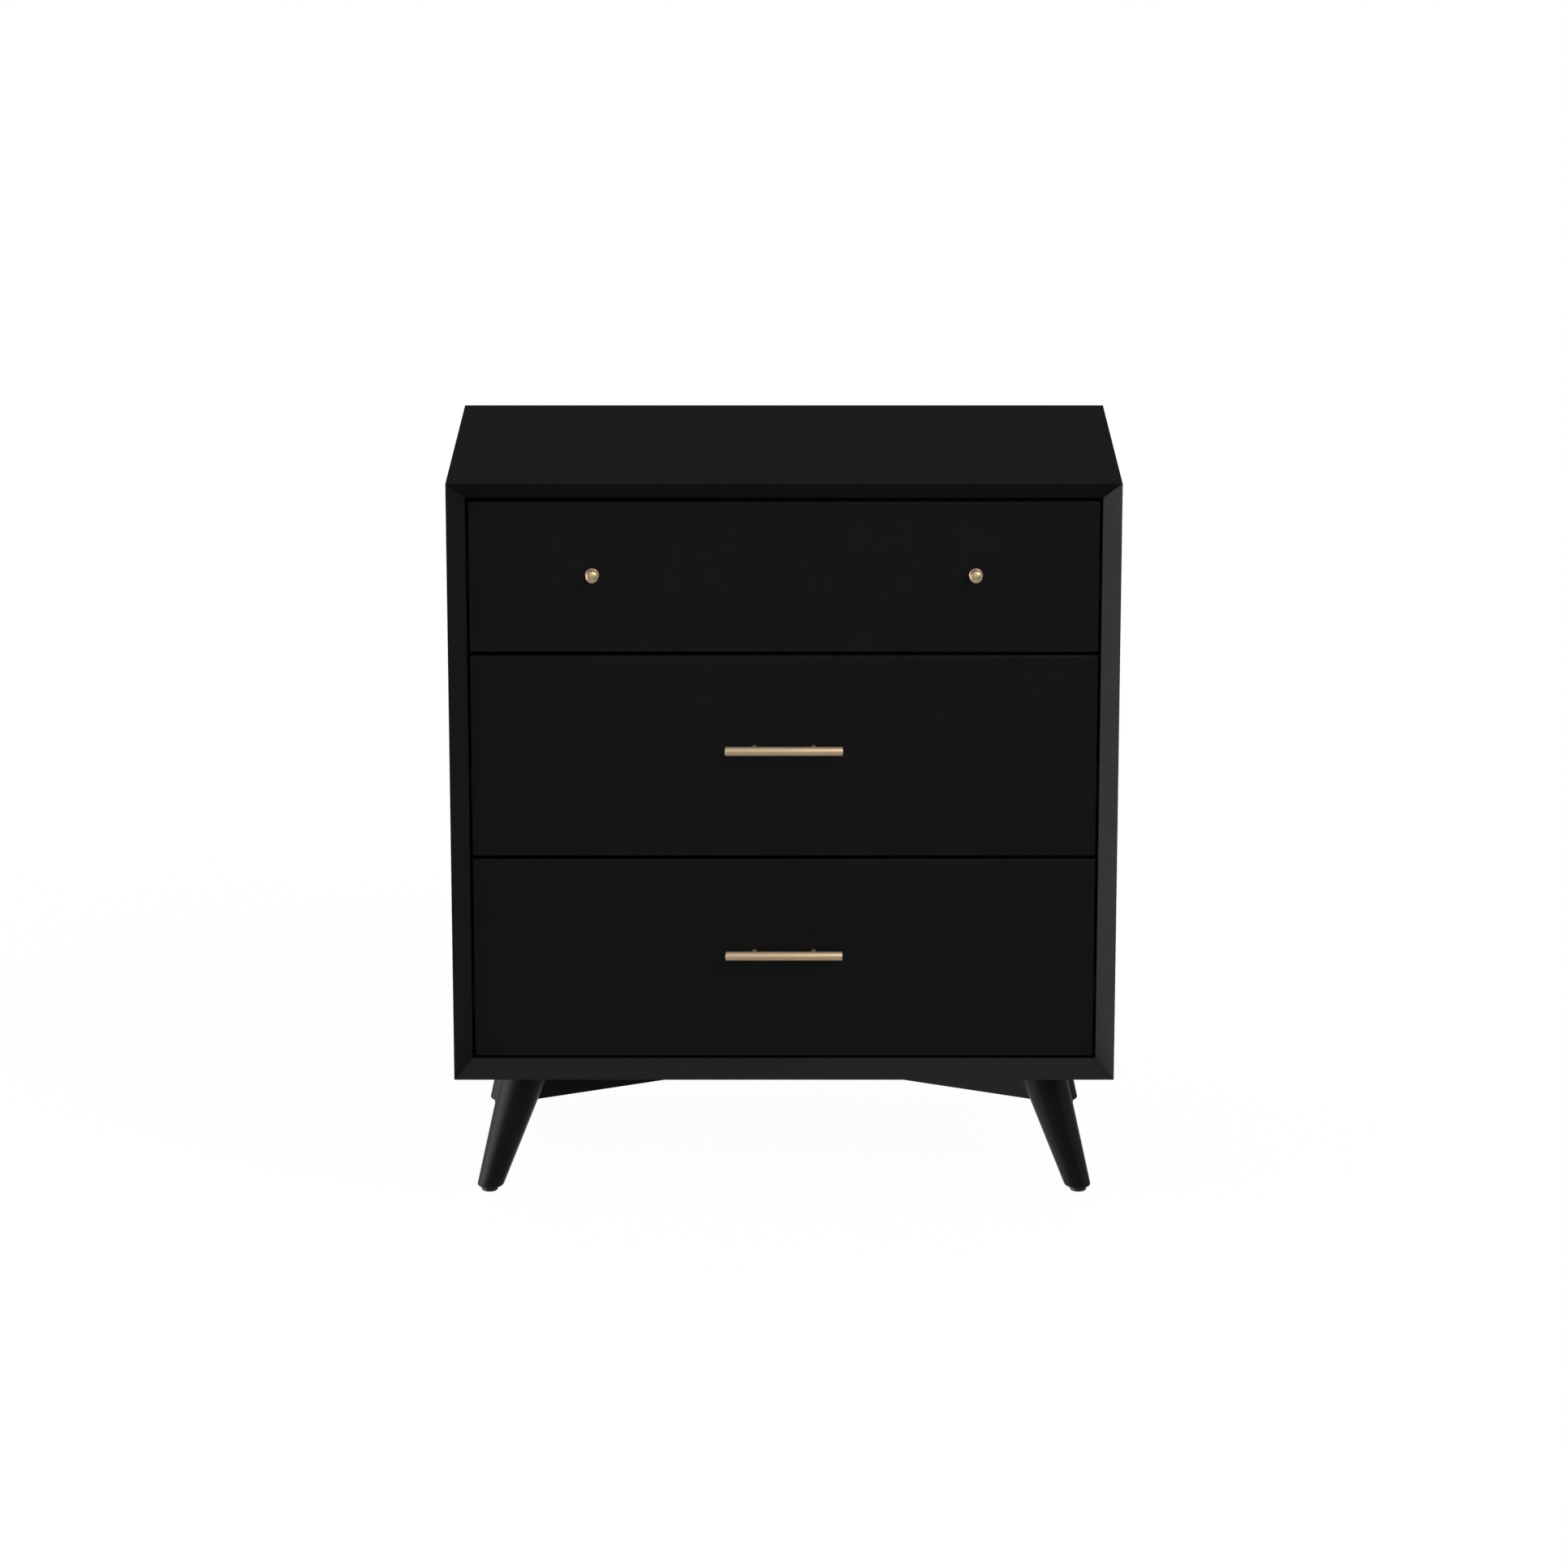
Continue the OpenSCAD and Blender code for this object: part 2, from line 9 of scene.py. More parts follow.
import bmesh
import bpy
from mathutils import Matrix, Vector

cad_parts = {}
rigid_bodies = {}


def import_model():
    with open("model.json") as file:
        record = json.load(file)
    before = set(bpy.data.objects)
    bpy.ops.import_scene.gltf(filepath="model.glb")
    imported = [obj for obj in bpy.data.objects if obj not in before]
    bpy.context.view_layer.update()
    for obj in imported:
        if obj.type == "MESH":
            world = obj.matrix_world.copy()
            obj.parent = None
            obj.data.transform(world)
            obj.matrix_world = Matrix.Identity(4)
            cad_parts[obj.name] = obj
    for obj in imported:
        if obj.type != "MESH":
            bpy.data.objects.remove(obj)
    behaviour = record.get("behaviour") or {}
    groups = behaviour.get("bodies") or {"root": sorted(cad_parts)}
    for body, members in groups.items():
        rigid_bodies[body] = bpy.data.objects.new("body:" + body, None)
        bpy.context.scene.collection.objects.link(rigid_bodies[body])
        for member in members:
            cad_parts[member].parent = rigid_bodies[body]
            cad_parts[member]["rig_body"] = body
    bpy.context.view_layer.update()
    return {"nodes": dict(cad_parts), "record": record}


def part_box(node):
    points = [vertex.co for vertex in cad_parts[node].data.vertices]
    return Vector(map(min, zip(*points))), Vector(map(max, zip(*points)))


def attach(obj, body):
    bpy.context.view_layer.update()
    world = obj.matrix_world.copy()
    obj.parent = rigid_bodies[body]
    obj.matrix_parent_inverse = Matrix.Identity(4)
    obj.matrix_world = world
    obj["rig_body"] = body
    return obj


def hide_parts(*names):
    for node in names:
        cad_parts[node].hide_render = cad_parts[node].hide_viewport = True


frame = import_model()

NODES = frame["nodes"]
SLOT_OF = {part["node"]: part["material_slot"] for part in frame["record"]["subparts"]}
MM = 0.001
FACES_OUT = {
    "top_panel": (0, 0, 1),
    "bottom_panel": (0, 0, -1),
    "left_side_panel": (-1, 0, 0),
    "right_side_panel": (1, 0, 0),
}
LEGS = ("front_left_leg", "front_right_leg", "rear_left_leg", "rear_right_leg")
DRAWERS = ("top", "middle", "bottom")
PULLS = ("middle", "bottom")
X, Y, Z = 0, 1, 2

# Endings of the names of CAD nodes whose edges are softened
SOFT_EDGED = (
    "_brace", "_divider", "back_panel", "_box_front", "_box_back", "_left_side", "_right_side", "_pull_posts",
)

# Rounding of the edges that a hand would feel
PANEL_EDGE = 0.7 * MM
FRONT_EDGE = 0.8 * MM
CAD_EDGE = 0.4 * MM
FOOT_EDGE = 3.2 * MM
BAR_EDGE = 1.2 * MM
EDGE_STEPS = 3
CAD_EDGE_STEPS = 2

# Edges that turn more than this many degrees stay crisp, or are rounded on the CAD nodes
CREASE = 50

# Points this near each other count as one, this near a mitre plane as on it, and this near a level as at it
WELD_SLACK = 0.001 * MM
CUT_SLACK = 0.005 * MM
LEVEL_SLACK = 0.01 * MM

ROUND_SIDES = 96
LEG_LEVELS = 14

# Knob section: distances along and out from its axis
KNOB_HEAD = 13.5 * MM
KNOB_NECK = 4.5 * MM
KNOB_EDGE = 0.5 * MM
KNOB_RIM = 2.2 * MM
KNOB_FLANGE = 3.2 * MM
KNOB_BARREL = 6.6 * MM
KNOB_SHOULDER = 1.4 * MM
KNOB_DOME = 12.0 * MM

# The dome's arc stops just short of its pole, in degrees, and a tiny flat closes it
DOME_END = 89.5

# Camera: it looks down on the case from well in front of it, with a long lens
EYE_BEFORE_CASE = 6.225
EYE_HEIGHT = 2.182
AIM_HEIGHT = 0.479
LENS_MM = 137.6
SENSOR_MM = 36.0
CAMERA_REACH = 100.0

FLOOR_HALF_WIDTH = 30.0
FLOOR_GLOW = 0.97

# Soft lights as (azimuth, elevation, core, fade, strength).
# The angles are in degrees; azimuth runs from the front to the right.
STUDIO_LIGHTS = (
    (-84, -6, 14, 24, 3.45),
    (84, -6, 14, 24, 0.53),
    (42, 40, 12, 14, 4.0),
    (0, 88, 20, 40, 0.50),
    (0, 18, 10, 25, 0.68),
    (0, -40, 15, 25, 0.06),
    (0, -85, 30, 40, 0.33),
    (180, 22, 16, 30, 0.057),
    (150, -24, 12, 20, 0.75),
    (-150, -24, 12, 20, 0.75),
)


# ---------------------------------------------------------------- node helpers


class Shader:
    """A material under construction: small helpers over its node tree."""

    def __init__(self, name):
        self.material = bpy.data.materials.new(name)
        self.material.use_nodes = True
        self.tree = self.material.node_tree
        self.surface = self.tree.nodes["Principled BSDF"]
        self.place = self.add("ShaderNodeTexCoord").outputs["Object"]

    def add(self, kind, **values):
        """A new node, with its properties given as keywords."""
        node = self.tree.nodes.new(kind)
        for name, value in values.items():
            setattr(node, name, value)
        return node

    def link(self, source, target):
        self.tree.links.new(source, target)

    def put(self, node, socket, value):
        """Sets a socket, by a link if the value is another node's output."""
        if isinstance(value, bpy.types.NodeSocket):
            self.link(value, node.inputs[socket])
        else:
            node.inputs[socket].default_value = value

    def stretched(self, scale):
        """The object's coordinates, scaled so that a texture gets long or short along each axis."""
        node = self.add("ShaderNodeMapping")
        self.link(self.place, node.inputs["Vector"])
        self.put(node, "Scale", scale)
        return node.outputs["Vector"]

    def noise(self, scale, detail, roughness):
        """Even noise: scale is in features per metre."""
        return self.noise_over(self.place, scale, detail, roughness, 0.0)

    def fibres(self, stretch, detail, roughness, distortion=0.0):
        """Noise drawn out by a stretch, as wood fibres or brush marks are."""
        return self.noise_over(self.stretched(stretch), 1.0, detail, roughness, distortion)

    def noise_over(self, vector, scale, detail, roughness, distortion):
        node = self.add("ShaderNodeTexNoise")
        self.link(vector, node.inputs["Vector"])
        self.put(node, "Scale", scale)
        self.put(node, "Detail", detail)
        self.put(node, "Roughness", roughness)
        self.put(node, "Distortion", distortion)
        return node.outputs["Fac"]

    def wave(self, stretch, scale, distortion, detail, detail_scale, **kind):
        """A wandering wave figure over stretched coordinates."""
        node = self.add("ShaderNodeTexWave", **kind)
        self.link(self.stretched(stretch), node.inputs["Vector"])
        self.put(node, "Scale", scale)
        self.put(node, "Distortion", distortion)
        self.put(node, "Detail", detail)
        self.put(node, "Detail Scale", detail_scale)
        return node.outputs["Fac"]

    def spread(self, value, low, high, start=0.0, end=1.0):
        """Maps start..end of a value to low..high."""
        node = self.add("ShaderNodeMapRange")
        self.link(value, node.inputs["Value"])
        self.put(node, "From Min", start)
        self.put(node, "From Max", end)
        self.put(node, "To Min", low)
        self.put(node, "To Max", high)
        return node.outputs["Result"]

    def blend_colours(self, share, first, second):
        node = self.add("ShaderNodeMix", data_type="RGBA")
        self.put(node, "Factor", share)
        self.put_colour(node, "A", first)
        self.put_colour(node, "B", second)
        return [socket for socket in node.outputs if socket.type == "RGBA"][0]

    def put_colour(self, node, name, value):
        """As put, for a node that has several sockets of one name, one of them a colour."""
        socket = [s for s in node.inputs if s.name == name and s.type == "RGBA"][0]
        if isinstance(value, bpy.types.NodeSocket):
            self.link(value, socket)
        else:
            socket.default_value = value

    def bump(self, *layers):
        """Stacks (height, distance in metres) layers into one normal."""
        normal = None
        for height, distance in layers:
            node = self.add("ShaderNodeBump")
            self.link(height, node.inputs["Height"])
            self.put(node, "Distance", distance)
            if normal:
                self.link(normal, node.inputs["Normal"])
            normal = node.outputs["Normal"]
        self.link(normal, self.surface.inputs["Normal"])

    def set(self, **sockets):
        """Sets sockets of the surface shader, with _ for a space in their names."""
        for name, value in sockets.items():
            self.put(self.surface, name.replace("_", " "), value)


def rgb(r, g, b):
    return (r, g, b, 1.0)


def along(axis, long, across):
    """A scale that draws a texture out along one axis."""
    return tuple(long if i == axis else across for i in range(3))


# ---------------------------------------------------------------- materials


def black_lacquer(name, grain):
    """Satin black lacquer over close-grained wood: the grain barely shows through."""
    s = Shader(name)
    fibres = s.fibres(along(grain, 9.0, 420.0), 5.0, 0.6, 0.4)
    clouds = s.noise(24.0, 4.0, 0.6)
    peel = s.noise(620.0, 2.0, 0.5)
    tone = s.blend_colours(clouds, rgb(0.0014, 0.0014, 0.0015), rgb(0.0022, 0.0022, 0.0022))
    s.set(Base_Color=tone, IOR=1.33, Roughness=s.spread(clouds, 0.46, 0.50, 0.3, 0.7))
    s.bump((fibres, 0.000012), (peel, 0.000006))
    return s.material


def satin_brass(name, grain):
    """Lacquered champagne brass, linished along one axis."""
    s = Shader(name)
    brushing = s.fibres(along(grain, 160.0, 5200.0), 4.0, 0.6)
    clouds = s.noise(90.0, 3.0, 0.5)
    tone = s.blend_colours(clouds, rgb(0.76, 0.565, 0.365), rgb(0.82, 0.615, 0.405))
    s.set(Base_Color=tone, Metallic=0.66, Roughness=s.spread(brushing, 0.30, 0.36, 0.3, 0.7))
    s.bump((brushing, 0.000002))
    return s.material


def zinc_steel(name):
    """Rolled, zinc-plated steel, with a fine spangle."""
    s = Shader(name)
    rolling = s.fibres(along(Y, 25.0, 1400.0), 4.0, 0.6)
    spangle = s.noise(260.0, 3.0, 0.6)
    tone = s.blend_colours(spangle, rgb(0.50, 0.52, 0.54), rgb(0.66, 0.67, 0.68))
    s.set(Base_Color=tone, Metallic=1.0, Roughness=s.spread(spangle, 0.28, 0.42, 0.3, 0.7))
    s.bump((rolling, 0.000006))
    return s.material


def black_zinc(name):
    """Rolled steel under black zinc plating, rubbed a little along its length."""
    s = Shader(name)
    rolling = s.fibres(along(Y, 25.0, 1400.0), 4.0, 0.6)
    clouds = s.noise(60.0, 4.0, 0.6)
    tone = s.blend_colours(clouds, rgb(0.035, 0.035, 0.037), rgb(0.075, 0.074, 0.074))
    s.set(Base_Color=tone, Metallic=1.0, Roughness=s.spread(rolling, 0.30, 0.44, 0.3, 0.7))
    s.bump((rolling, 0.000006))
    return s.material


def birch(name, grain):
    """Clear-lacquered birch, with growth rings drawn out along the board."""
    s = Shader(name)
    rings = s.wave(along(grain, 1.3, 9.0), 1.7, 7.0, 4.0, 1.6,
                   wave_type="RINGS", rings_direction="XYZ"[grain])
    fibres = s.fibres(along(grain, 14.0, 900.0), 6.0, 0.65, 0.3)
    streaks = s.fibres(along(grain, 3.0, 130.0), 5.0, 0.6, 0.2)
    clouds = s.fibres(along(grain, 2.0, 8.0), 3.0, 0.5)
    early = s.blend_colours(rings, rgb(0.61, 0.44, 0.27), rgb(0.68, 0.51, 0.32))
    streaked = s.blend_colours(s.spread(streaks, 0.0, 0.5, 0.4, 0.8), early, rgb(0.54, 0.37, 0.21))
    wood = s.blend_colours(s.spread(fibres, 0.0, 0.35, 0.35, 0.75), streaked, rgb(0.47, 0.31, 0.17))
    tone = s.blend_colours(s.spread(clouds, 0.0, 0.3, 0.3, 0.7), wood, rgb(0.64, 0.47, 0.30))
    s.set(Base_Color=tone, Roughness=s.spread(fibres, 0.38, 0.52, 0.3, 0.7), IOR=1.46)
    s.bump((fibres, 0.00003))
    return s.material


def birch_plywood(name, grain):
    """Plywood faced with rotary-cut birch: a broad, wandering figure, paler than the solid wood."""
    s = Shader(name)
    across = Y if grain == X else X
    figure = s.wave(along(grain, 1.2, 5.0), 2.2, 9.0, 2.0, 0.8,
                    wave_type="BANDS", bands_direction="XYZ"[across])
    fibres = s.fibres(along(grain, 22.0, 800.0), 6.0, 0.65, 0.3)
    streaks = s.fibres(along(grain, 4.0, 90.0), 5.0, 0.6, 0.4)
    veneer = s.blend_colours(figure, rgb(0.67, 0.51, 0.33), rgb(0.73, 0.57, 0.38))
    streaked = s.blend_colours(s.spread(streaks, 0.0, 0.5, 0.4, 0.8), veneer, rgb(0.60, 0.44, 0.27))
    tone = s.blend_colours(s.spread(fibres, 0.0, 0.3, 0.35, 0.75), streaked, rgb(0.52, 0.36, 0.21))
    s.set(Base_Color=tone, Roughness=s.spread(fibres, 0.40, 0.52, 0.3, 0.7), IOR=1.46)
    s.bump((fibres, 0.00003))
    return s.material


def glide_plastic(name):
    """Black nylon with a fine moulded texture."""
    s = Shader(name)
    texture = s.noise(1500.0, 2.0, 0.5)
    s.set(Base_Color=s.blend_colours(texture, rgb(0.010, 0.010, 0.011), rgb(0.016, 0.016, 0.017)))
    s.set(Roughness=s.spread(texture, 0.42, 0.55), IOR=1.45)
    s.bump((texture, 0.00002))
    return s.material


def make_materials():
    """One material for each record slot, and one for each grain direction where that matters."""
    made = {}
    for axis, letter in enumerate("xyz"):
        made["black_paint", axis] = black_lacquer(f"black_lacquer_{letter}", axis)
        made["satin_brass", axis] = satin_brass(f"satin_brass_{letter}", axis)
        made["birch", axis] = birch(f"birch_{letter}", axis)
        made["birch_plywood", axis] = birch_plywood(f"birch_plywood_{letter}", axis)
    plain = {"zinc_steel": zinc_steel, "black_steel": black_zinc, "glide_plastic": glide_plastic}
    for slot, make in plain.items():
        material = make(slot)
        for axis in (X, Y, Z):
            made[slot, axis] = material
    return made


def grain_axis(node):
    """The axis that a node's grain runs along: its own longest one."""
    lo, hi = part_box(node)
    size = hi - lo
    return max(range(3), key=lambda i: size[i])


def paint(obj, node, grain=None):
    """Gives an object the finish that the record names for a node."""
    slot = SLOT_OF[node]
    axis = grain_axis(node) if grain is None else grain
    obj.data.materials.clear()
    obj.data.materials.append(MATERIALS[slot, axis])
    for face in obj.data.polygons:
        face.material_index = 0


# ---------------------------------------------------------------- mesh helpers


def stand_in(name, bm, node, grain=None):
    """Turns a bmesh into a piece that stands for one CAD node and moves with it."""
    bmesh.ops.recalc_face_normals(bm, faces=bm.faces)
    mesh = bpy.data.meshes.new(name)
    bm.to_mesh(mesh)
    bm.free()
    obj = bpy.data.objects.new(name, mesh)
    bpy.context.scene.collection.objects.link(obj)
    paint(obj, node, grain)
    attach(obj, NODES[node]["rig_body"])
    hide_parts(node)
    return obj


def round_edges(bm, edges, radius):
    """Rounds edges, and shades only the new faces smooth."""
    made = bmesh.ops.bevel(bm, geom=edges, offset=radius, segments=EDGE_STEPS, profile=0.5,
                           affect="EDGES", clamp_overlap=False)
    for face in made["faces"]:
        face.smooth = True


def arc(centre, radius, start, end, steps):
    """Points of an arc in a plane, from one angle to another, in degrees."""
    angles = [math.radians(start + (end - start) * i / steps) for i in range(steps + 1)]
    return [(centre[0] + radius * math.cos(a), centre[1] + radius * math.sin(a)) for a in angles]


def turns():
    """The angles of the points of one ring, in radians."""
    return [2 * math.pi * i / ROUND_SIDES for i in range(ROUND_SIDES)]


def lathe(profile, centre, axis):
    """Spins (radius, distance) points about an axis direction through a centre."""
    bm = bmesh.new()
    forward = Vector(axis)
    right = forward.orthogonal().normalized()
    up = forward.cross(right)
    rings = []
    for radius, distance in profile:
        on_axis = Vector(centre) + forward * distance
        rings.append([bm.verts.new(on_axis + (right * math.cos(t) + up * math.sin(t)) * radius)
                      for t in turns()])
    join_rings(bm, rings)
    return bm


def join_rings(bm, rings):
    """Skins a row of rings, and closes both ends."""
    sides = len(rings[0])
    for low, high in zip(rings, rings[1:]):
        for i in range(sides):
            j = (i + 1) % sides
            bm.faces.new((low[i], low[j], high[j], high[i])).smooth = True
    bm.faces.new(rings[0])
    bm.faces.new(rings[-1])


def sharpen(obj):
    """Keeps sharp edges crisp in smooth shading."""
    obj.data.set_sharp_from_angle(angle=math.radians(CREASE))


# ---------------------------------------------------------------- case


def case_box():
    """The corners of the box around the four case panels."""
    boxes = [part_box(name) for name in FACES_OUT]
    lo = Vector([min(b[0][i] for b in boxes) for i in range(3)])
    hi = Vector([max(b[1][i] for b in boxes) for i in range(3)])
    return lo, hi


CASE_LO, CASE_HI = case_box()


def case_ring():
    """The four case panels in one closed ring: each corner carries the panel section, mitred."""
    lo, hi = CASE_LO, CASE_HI
    panel_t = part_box("top_panel")[1].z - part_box("top_panel")[0].z
    bevel_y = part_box("top_drawer_front")[0].y
    back_lo, back_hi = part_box("back_panel")
    rebate = hi.x - back_hi.x
    section = [(lo.y, 0), (hi.y, 0), (hi.y, rebate), (back_lo.y, rebate), (back_lo.y, panel_t),
               (bevel_y, panel_t)]
    bm = bmesh.new()
    corners = []
    for sx, sz in ((-1, -1), (1, -1), (1, 1), (-1, 1)):
        x = hi.x if sx > 0 else lo.x
        z = hi.z if sz > 0 else lo.z
        corners.append([bm.verts.new((x - sx * depth, y, z - sz * depth)) for y, depth in section])
    points = len(section)
    for k in range(4):
        here, there = corners[k], corners[(k + 1) % 4]
        for i in range(points):
            j = (i + 1) % points
            bm.faces.new((here[i], here[j], there[j], there[i]))
    bmesh.ops.recalc_face_normals(bm, faces=bm.faces)
    outer_front, outer_back, rebate_edge, inner_front = 0, 1, 2, 5
    felt = []
    for k in range(4):
        here, there = corners[k], corners[(k + 1) % 4]
        for i in (outer_front, outer_back, rebate_edge, inner_front):
            felt.append(bm.edges.get((here[i], there[i])))
        felt.append(bm.edges.get((here[outer_front], here[outer_back])))
    round_edges(bm, felt, PANEL_EDGE)
    return bm


def cut_panel(ring, name):
    """One panel, cut from the ring along the 45 degree mitres at its two ends."""
    bm = ring.copy()
    own = Vector(FACES_OUT[name])
    along_panel = Vector((own.z, 0, own.x))
    for neighbour in (along_panel, -along_panel):
        corner = [CASE_HI[i] if (own + neighbour)[i] > 0 else CASE_LO[i] for i in range(3)]
        bmesh.ops.bisect_plane(bm, geom=bm.verts[:] + bm.edges[:] + bm.faces[:], plane_co=corner,
                               plane_no=neighbour - own, dist=CUT_SLACK, clear_outer=True)
        bmesh.ops.contextual_create(bm, geom=[edge for edge in bm.edges if edge.is_boundary])
    return bm


def build_case():
    ring = case_ring()
    for name in FACES_OUT:
        stand_in(f"{name}_finished", cut_panel(ring, name), name)
    ring.free()


# ---------------------------------------------------------------- drawer fronts


def build_drawer_front(drawer):
    """A plain board with eased edges, its grain level."""
    node = f"{drawer}_drawer_front"
    lo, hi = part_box(node)
    bm = bmesh.new()
    bmesh.ops.create_cube(bm, size=1.0)
    for v in bm.verts:
        v.co = Vector([(lo[i] + hi[i]) / 2 + v.co[i] * (hi[i] - lo[i]) for i in range(3)])
    round_edges(bm, bm.edges[:], FRONT_EDGE)
    stand_in(f"{node}_finished", bm, node, X)


# ---------------------------------------------------------------- handles


def build_knob(node):
    """A thin neck, a flange with a rounded rim, and a barrel with a domed front."""
    lo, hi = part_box(node)
    radius = (hi.x - lo.x) / 2
    length = hi.y - lo.y
    centre = ((lo.x + hi.x) / 2, hi.y, (lo.z + hi.z) / 2)
    head = length - KNOB_HEAD
    rim = head + KNOB_FLANGE - KNOB_RIM
    rim_end = math.degrees(math.acos((KNOB_BARREL - radius + KNOB_RIM) / KNOB_RIM))
    dome = length - KNOB_DOME
    inner = KNOB_BARREL - KNOB_SHOULDER
    reach = KNOB_DOME - KNOB_SHOULDER
    shoulder = dome + math.sqrt(reach ** 2 - inner ** 2)
    dome_edge = math.degrees(math.acos(inner / reach))
    profile = [(KNOB_NECK, 0.0), (KNOB_NECK, head)]
    profile += arc((radius - KNOB_EDGE, head + KNOB_EDGE), KNOB_EDGE, -90, 0, 6)
    profile += arc((radius - KNOB_RIM, rim), KNOB_RIM, 0, rim_end, 12)
    profile += arc((inner, shoulder), KNOB_SHOULDER, 0, dome_edge, 10)
    profile += arc((0.0, dome), KNOB_DOME, dome_edge, DOME_END, 24)[1:]
    obj = stand_in(f"{node}_turned", lathe(profile, centre, (0, -1, 0)), node, Y)
    sharpen(obj)


def build_pull_bar(drawer):
    """A round bar with rounded ends."""
    node = f"{drawer}_pull_bar"
    lo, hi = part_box(node)
    radius = (hi.z - lo.z) / 2
    length = hi.x - lo.x
    centre = (lo.x, (lo.y + hi.y) / 2, (lo.z + hi.z) / 2)
    inner = radius - BAR_EDGE
    profile = arc((inner, BAR_EDGE), BAR_EDGE, -90, 0, 6)
    profile += arc((inner, length - BAR_EDGE), BAR_EDGE, 0, 90, 6)
    obj = stand_in(f"{node}_turned", lathe(profile, centre, (1, 0, 0)), node, X)
    sharpen(obj)


# ---------------------------------------------------------------- legs


def leg_measures(node):
    """A leg's lowest and highest level, and (x, half width, y, half depth) of its section at each."""
    co = [v.co for v in NODES[node].data.vertices]
    lo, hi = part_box(node)
    ends = []
    for level in (lo.z, hi.z):
        ring = [p for p in co if abs(p.z - level) < LEVEL_SLACK]
        left = min(p.x for p in ring)
        right = max(p.x for p in ring)
        front = min(p.y for p in ring)
        back = max(p.y for p in ring)
        ends.append(((left + right) / 2, (right - left) / 2, (front + back) / 2, (back - front) / 2))
    return lo.z, hi.z, ends


def build_leg(node):
    """A tapered, leaning leg, in level ellipses from its rounded foot up to the case."""
    low, high, (foot, top) = leg_measures(node)
    foot_angles = [math.radians(a) for a in range(0, 90, 10)]
    heights = [low + FOOT_EDGE * (1 - math.cos(a)) for a in foot_angles]
    insets = [FOOT_EDGE * (1 - math.sin(a)) for a in foot_angles]
    start = low + FOOT_EDGE
    heights += [start + (high - start) * i / LEG_LEVELS for i in range(LEG_LEVELS + 1)]
    insets += [0.0] * (LEG_LEVELS + 1)
    bm = bmesh.new()
    rings = []
    for z, inset in zip(heights, insets):
        share = (z - low) / (high - low)
        x, rx, y, ry = [a + (b - a) * share for a, b in zip(foot, top)]
        rings.append([bm.verts.new((x + (rx - inset) * math.cos(t), y + (ry - inset) * math.sin(t), z))
                      for t in turns()])
    join_rings(bm, rings)
    obj = stand_in(f"{node}_turned", bm, node, Z)
    sharpen(obj)


# ---------------------------------------------------------------- CAD nodes that stay


def finish_cad_nodes():
    """Every CAD node gets its finish. Boards and rails also get softened edges."""
    for name, obj in NODES.items():
        paint(obj, name)
        if name.endswith(SOFT_EDGED):
            soften(obj)


def soften(obj):
    """Rounds a node's sharp edges a little, without a change to its vertices."""
    weld = obj.modifiers.new("weld", "WELD")
    weld.merge_threshold = WELD_SLACK
    bevel = obj.modifiers.new("edges", "BEVEL")
    bevel.width = CAD_EDGE
    bevel.segments = CAD_EDGE_STEPS
    bevel.limit_method = "ANGLE"
    bevel.angle_limit = math.radians(CREASE)
    bevel.harden_normals = True


# ---------------------------------------------------------------- studio


def build_floor():
    """A pale floor that the object stands on. It lights nothing, so that the lacquer stays black."""
    bm = bmesh.new()
    bmesh.ops.create_grid(bm, x_segments=2, y_segments=2, size=FLOOR_HALF_WIDTH)
    mesh = bpy.data.meshes.new("floor")
    bm.to_mesh(mesh)
    bm.free()
    floor = bpy.data.objects.new("floor", mesh)
    bpy.context.scene.collection.objects.link(floor)
    material = bpy.data.materials.new("pale_floor")
    material.use_nodes = True
    surface = material.node_tree.nodes["Principled BSDF"]
    surface.inputs["Base Color"].default_value = rgb(0.05, 0.05, 0.05)
    surface.inputs["Roughness"].default_value = 1.0
    surface.inputs["Specular IOR Level"].default_value = 0.0
    surface.inputs["Emission Color"].default_value = rgb(1.0, 1.0, 1.0)
    surface.inputs["Emission Strength"].default_value = FLOOR_GLOW
    mesh.materials.append(material)
    floor.visible_diffuse = False
    floor.visible_glossy = False
    floor.visible_shadow = False


def towards(azimuth, elevation):
    """A direction from the object. Azimuth is counted from the front, to the right."""
    a, e = math.radians(azimuth), math.radians(elevation)
    return Vector((math.sin(a) * math.cos(e), -math.cos(a) * math.cos(e), math.sin(e)))


def soft_light(tree, place, azimuth, elevation, core, fade, strength):
    """The strength of one soft light in each direction: full over its core, then fading out."""
    facing = tree.nodes.new("ShaderNodeVectorMath")
    facing.operation = "DOT_PRODUCT"
    tree.links.new(place, facing.inputs[0])
    facing.inputs[1].default_value = towards(azimuth, elevation)
    glow = tree.nodes.new("ShaderNodeMapRange")
    glow.interpolation_type = "SMOOTHSTEP"
    tree.links.new(facing.outputs["Value"], glow.inputs["Value"])
    glow.inputs["From Min"].default_value = math.cos(math.radians(core + fade))
    glow.inputs["From Max"].default_value = math.cos(math.radians(core))
    glow.inputs["To Max"].default_value = strength
    return glow.outputs["Result"]


def sum_of(tree, first, second):
    node = tree.nodes.new("ShaderNodeMath")
    node.operation = "ADD"
    tree.links.new(first, node.inputs[0])
    tree.links.new(second, node.inputs[1])
    return node.outputs["Value"]


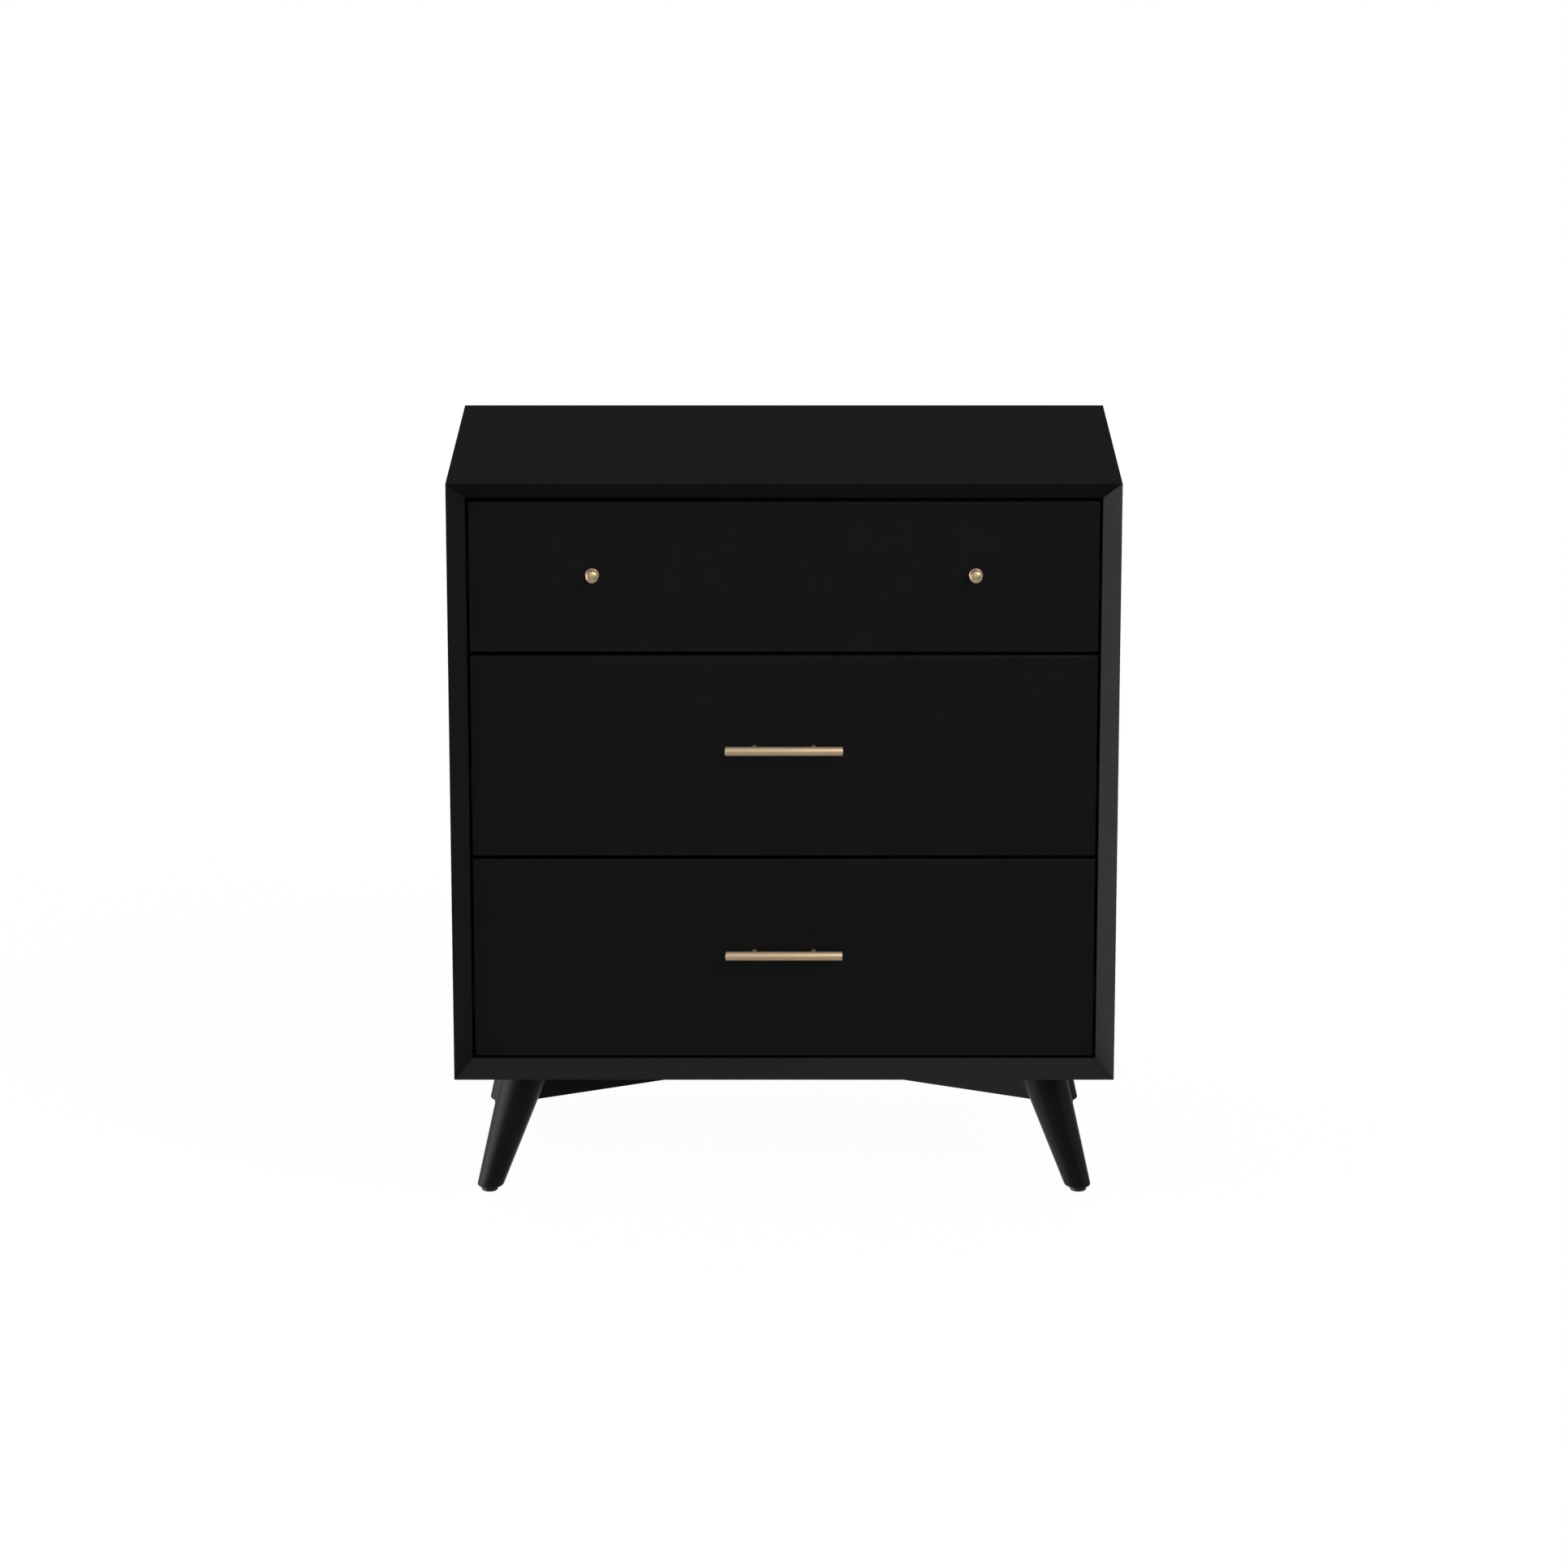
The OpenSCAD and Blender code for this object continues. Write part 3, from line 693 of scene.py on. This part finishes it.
def build_world():
    """The studio: white to the eye, and to the object a dark room with soft lights in it."""
    world = bpy.data.worlds.new("studio")
    world.use_nodes = True
    bpy.context.scene.world = world
    tree = world.node_tree
    tree.nodes.clear()
    place = tree.nodes.new("ShaderNodeTexCoord").outputs["Generated"]
    lights = [soft_light(tree, place, *light) for light in STUDIO_LIGHTS]
    total = lights[0]
    for light in lights[1:]:
        total = sum_of(tree, total, light)
    lit = tree.nodes.new("ShaderNodeBackground")
    lit.inputs["Color"].default_value = rgb(1.0, 1.0, 1.0)
    tree.links.new(total, lit.inputs["Strength"])
    seen = tree.nodes.new("ShaderNodeBackground")
    seen.inputs["Color"].default_value = rgb(1.0, 1.0, 1.0)
    rays = tree.nodes.new("ShaderNodeLightPath")
    choose = tree.nodes.new("ShaderNodeMixShader")
    tree.links.new(rays.outputs["Is Camera Ray"], choose.inputs["Fac"])
    tree.links.new(lit.outputs["Background"], choose.inputs[1])
    tree.links.new(seen.outputs["Background"], choose.inputs[2])
    out = tree.nodes.new("ShaderNodeOutputWorld")
    tree.links.new(choose.outputs["Shader"], out.inputs["Surface"])


def build_camera():
    """The camera, and a plain view of what it sees, with no tone curve."""
    camera = bpy.data.cameras.new("camera")
    camera.lens = LENS_MM
    camera.sensor_width = SENSOR_MM
    camera.clip_end = CAMERA_REACH
    obj = bpy.data.objects.new("camera", camera)
    bpy.context.scene.collection.objects.link(obj)
    eye = Vector((0.0, CASE_LO.y - EYE_BEFORE_CASE, EYE_HEIGHT))
    aim = Vector((0.0, CASE_LO.y, AIM_HEIGHT))
    obj.location = eye
    obj.rotation_mode = "QUATERNION"
    obj.rotation_quaternion = (aim - eye).to_track_quat("-Z", "Y")
    bpy.context.scene.camera = obj
    bpy.context.scene.view_settings.view_transform = "Standard"


MATERIALS = make_materials()
finish_cad_nodes()
build_case()
for name in DRAWERS:
    build_drawer_front(name)
for name in PULLS:
    build_pull_bar(name)
for name in ("left_knob", "right_knob"):
    build_knob(name)
for name in LEGS:
    build_leg(name)
build_floor()
build_world()
build_camera()
